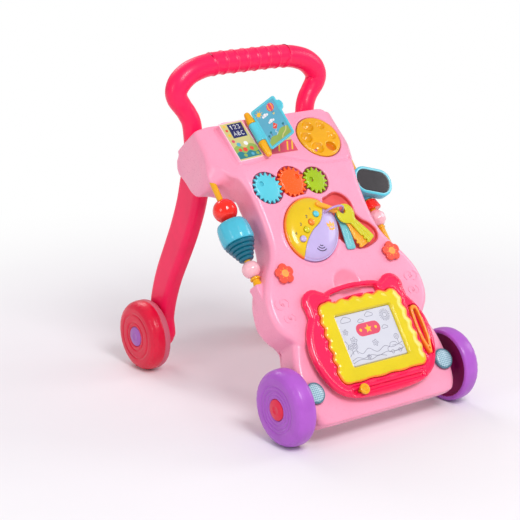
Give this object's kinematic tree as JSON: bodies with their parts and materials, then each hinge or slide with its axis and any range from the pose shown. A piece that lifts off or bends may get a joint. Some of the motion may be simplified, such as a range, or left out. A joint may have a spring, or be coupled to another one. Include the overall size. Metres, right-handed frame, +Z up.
{
  "type": "baby walker",
  "caption": "Push-along baby walker with four wheels, a ribbed handle and a sloping face of toys: gears, dial, turning page, music unit with keys, drawing board, beads and a mirror",
  "frame": {"origin": "on the floor, midway between the axles and midway across", "axes": "+Z up; the sloping face with the toys looks to -Y and the push handle is at +Y; +X is to the right for someone looking at the face"},
  "size_m": [0.3098, 0.446, 0.4585],
  "materials": {
    "shell_pink": "glossy moulded plastic, light pink",
    "cover_pink": "satin moulded plastic, light pink",
    "deep_pink": "glossy blow-moulded plastic, deep pink",
    "board_pink": "glossy moulded plastic, hot pink",
    "steel": "bright drawn steel",
    "rim_teal": "dark teal moulded ring",
    "lens": "clear pale blue moulded lens over a dotted reflector",
    "tray_crimson": "moulded recess",
    "yellow": "glossy moulded plastic, warm yellow",
    "phone_yellow": "glossy moulded plastic, light yellow",
    "lilac": "glossy moulded plastic, lilac",
    "orange": "glossy moulded plastic, orange",
    "speaker_black": "black loudspeaker",
    "board_green": "green circuit board",
    "cell": "wrapped dry cell",
    "ring_mauve": "mauve moulded ring",
    "key_hollow": "red moulded hollow",
    "tyre_lilac": "satin moulded wheel, lilac",
    "tyre_crimson": "satin moulded wheel, crimson",
    "cyan": "glossy moulded plastic, cyan",
    "gear_orange": "glossy moulded plastic, red-orange",
    "green": "glossy moulded plastic, lime green",
    "flower": "glossy moulded plastic, coral with an orange middle",
    "olive": "glossy moulded plastic, olive yellow",
    "key_teal": "glossy moulded plastic, teal",
    "screen": "milky magnetic drawing film",
    "red": "glossy moulded plastic, red",
    "teal": "glossy moulded plastic, teal",
    "bead_pale": "glossy moulded plastic, pale pink",
    "mirror": "mirror film on a plastic plate",
    "switch_dark": "dark moulded plastic"
  },
  "bodies": {
    "walker": {"front_shell": "shell_pink", "back_cover": "cover_pink", "handle": "deep_pink", "leg_left": "deep_pink", "leg_right": "deep_pink", "front_axle": "steel", "rear_axles": "steel", "shell_screws": "steel", "headlight_rims": "rim_teal", "headlight_lenses": "lens", "gear_tray": "tray_crimson", "book_spindle": "yellow", "phone_yellow": "phone_yellow", "phone_lilac": "lilac", "phone_base": "orange", "speaker": "speaker_black", "circuit_board": "board_green", "battery_box": "cover_pink", "battery_door": "cover_pink", "batteries": "cell", "key_ring": "ring_mauve", "key_tray": "key_hollow", "bead_rods": "yellow"},
    "wheel_front_left": {"tyre_front_left": "tyre_lilac", "cap_front_left": "tyre_crimson"},
    "wheel_front_right": {"tyre_front_right": "tyre_lilac", "cap_front_right": "tyre_crimson"},
    "wheel_rear_left": {"tyre_rear_left": "tyre_crimson", "cap_rear_left": "tyre_lilac"},
    "wheel_rear_right": {"tyre_rear_right": "tyre_crimson", "cap_rear_right": "tyre_lilac"},
    "board": {"board_frame": "board_pink", "board_bezel": "phone_yellow", "board_screen": "screen"},
    "bell": {"bell_cup": "cyan", "bell_cone": "teal"},
    "mirror": {"mirror_frame": "cyan", "mirror_glass": "mirror"},
    "gear_cyan": {"gear_cyan": "cyan"},
    "gear_orange": {"gear_orange": "gear_orange"},
    "gear_green": {"gear_green": "green"},
    "dial": {"dial": "yellow"},
    "book_page": {"book_page": "cyan"},
    "music_button_1": {"music_button_1": "cyan"},
    "music_button_2": {"music_button_2": "orange"},
    "music_button_3": {"music_button_3": "olive"},
    "music_button_4": {"music_button_4": "lilac"},
    "flower_left": {"flower_left": "flower"},
    "flower_right": {"flower_right": "flower"},
    "key_olive": {"key_olive": "olive"},
    "key_orange": {"key_orange": "orange"},
    "key_cyan": {"key_cyan": "key_teal"},
    "board_slider": {"board_slider": "yellow"},
    "board_pen": {"board_pen": "orange"},
    "red_ball": {"red_ball": "red"},
    "bead_left": {"bead_left": "bead_pale"},
    "bead_red_right": {"bead_red_right": "red"},
    "bead_right": {"bead_right": "bead_pale"},
    "power_switch": {"power_switch": "switch_dark"}
  },
  "joints": [
    {"name": "wheel_front_left_spin", "type": "hinge", "parent": "walker", "child": "wheel_front_left", "pos_m": [-0.14, -0.173, 0.05], "axis": [1, 0, 0], "continuous": true},
    {"name": "wheel_front_right_spin", "type": "hinge", "parent": "walker", "child": "wheel_front_right", "pos_m": [0.14, -0.173, 0.05], "axis": [1, 0, 0], "continuous": true},
    {"name": "wheel_rear_left_spin", "type": "hinge", "parent": "walker", "child": "wheel_rear_left", "pos_m": [-0.128, 0.173, 0.05], "axis": [1, 0, 0], "continuous": true},
    {"name": "wheel_rear_right_spin", "type": "hinge", "parent": "walker", "child": "wheel_rear_right", "pos_m": [0.128, 0.173, 0.05], "axis": [1, 0, 0], "continuous": true},
    {"name": "gear_orange_spin", "type": "hinge", "parent": "walker", "child": "gear_orange", "pos_m": [-0.02, -0.02936, 0.29603], "axis": [0, -0.8121, 0.5835], "continuous": true},
    {"name": "gear_cyan_spin", "type": "hinge", "parent": "walker", "child": "gear_cyan", "pos_m": [-0.06132, -0.03088, 0.29391], "axis": [0, -0.8121, 0.5835], "continuous": true},
    {"name": "gear_green_spin", "type": "hinge", "parent": "walker", "child": "gear_green", "pos_m": [0.01782, -0.03121, 0.29345], "axis": [0, -0.8121, 0.5835], "continuous": true},
    {"name": "dial_spin", "type": "hinge", "parent": "walker", "child": "dial", "pos_m": [0.057, 0.01133, 0.34027], "axis": [0, -0.6691, 0.7431], "continuous": true},
    {"name": "page_turn", "type": "hinge", "parent": "walker", "child": "book_page", "pos_m": [-0.042, 0.01784, 0.3577], "axis": [0, 0.7431, 0.6691], "range_deg": [-118, 56]},
    {"name": "music_button_1_press", "type": "slide", "parent": "walker", "child": "music_button_1", "axis": [0, 0.8121, -0.5835], "range_m": [0, 0.002], "stiffness_N_per_m": 400, "springref_m": -0.001},
    {"name": "music_button_2_press", "type": "slide", "parent": "walker", "child": "music_button_2", "axis": [0, 0.8121, -0.5835], "range_m": [0, 0.002], "stiffness_N_per_m": 400, "springref_m": -0.001},
    {"name": "music_button_3_press", "type": "slide", "parent": "walker", "child": "music_button_3", "axis": [0, 0.8121, -0.5835], "range_m": [0, 0.002], "stiffness_N_per_m": 400, "springref_m": -0.001},
    {"name": "music_button_4_press", "type": "slide", "parent": "walker", "child": "music_button_4", "axis": [0, 0.8121, -0.5835], "range_m": [0, 0.002], "stiffness_N_per_m": 400, "springref_m": -0.001},
    {"name": "flower_left_press", "type": "slide", "parent": "walker", "child": "flower_left", "axis": [0, 0.8121, -0.5835], "range_m": [0, 0.002], "stiffness_N_per_m": 400, "springref_m": -0.001},
    {"name": "flower_right_press", "type": "slide", "parent": "walker", "child": "flower_right", "axis": [0, 0.8121, -0.5835], "range_m": [0, 0.002], "stiffness_N_per_m": 400, "springref_m": -0.001},
    {"name": "key_cyan_swing", "type": "hinge", "parent": "walker", "child": "key_cyan", "pos_m": [0.033, -0.06581, 0.25523], "axis": [0, -0.8121, 0.5835], "range_deg": [-8, 0]},
    {"name": "key_orange_swing", "type": "hinge", "parent": "walker", "child": "key_orange", "pos_m": [0.033, -0.06825, 0.25698], "axis": [0, -0.8121, 0.5835], "range_deg": [0, 12]},
    {"name": "key_olive_swing", "type": "hinge", "parent": "walker", "child": "key_olive", "pos_m": [0.033, -0.0706, 0.25868], "axis": [0, -0.8121, 0.5835], "range_deg": [0, 12]},
    {"name": "board_lift", "type": "slide", "parent": "walker", "child": "board", "axis": [0, -0.8121, 0.5835], "range_m": [0, 0.04]},
    {"name": "board_slider_slide", "type": "slide", "parent": "board", "child": "board_slider", "axis": [1, 0, 0], "range_m": [0, 0.09]},
    {"name": "board_pen_lift", "type": "slide", "parent": "board", "child": "board_pen", "axis": [0, -0.8121, 0.5835], "range_m": [0, 0.03]},
    {"name": "red_ball_slide", "type": "slide", "parent": "walker", "child": "red_ball", "axis": [0, 0.6547, 0.7559], "range_m": [0, 0.018]},
    {"name": "bell_spin", "type": "hinge", "parent": "walker", "child": "bell", "pos_m": [-0.116, -0.04216, 0.23416], "axis": [0, 0.6547, 0.7559], "continuous": true},
    {"name": "bead_left_spin", "type": "hinge", "parent": "walker", "child": "bead_left", "pos_m": [-0.116, -0.06998, 0.20204], "axis": [0, 0.6547, 0.7559], "continuous": true},
    {"name": "bead_red_right_spin", "type": "hinge", "parent": "walker", "child": "bead_red_right", "pos_m": [0.116, -0.03299, 0.24475], "axis": [0, 0.6547, 0.7559], "continuous": true},
    {"name": "bead_right_spin", "type": "hinge", "parent": "walker", "child": "bead_right", "pos_m": [0.116, -0.04641, 0.22925], "axis": [0, 0.6547, 0.7559], "continuous": true},
    {"name": "mirror_turn", "type": "hinge", "parent": "walker", "child": "mirror", "pos_m": [0.116, -0.014, 0.26667], "axis": [0, 0.6547, 0.7559], "range_deg": [-5, 60]},
    {"name": "power_switch_slide", "type": "slide", "parent": "walker", "child": "power_switch", "axis": [0, 0.5835, 0.8121], "range_m": [0, 0.008]}
  ],
  "couplings": [
    {"joint": "gear_cyan_spin", "follows": "gear_orange_spin", "ratio": -1},
    {"joint": "gear_green_spin", "follows": "gear_orange_spin", "ratio": -1.2}
  ]
}
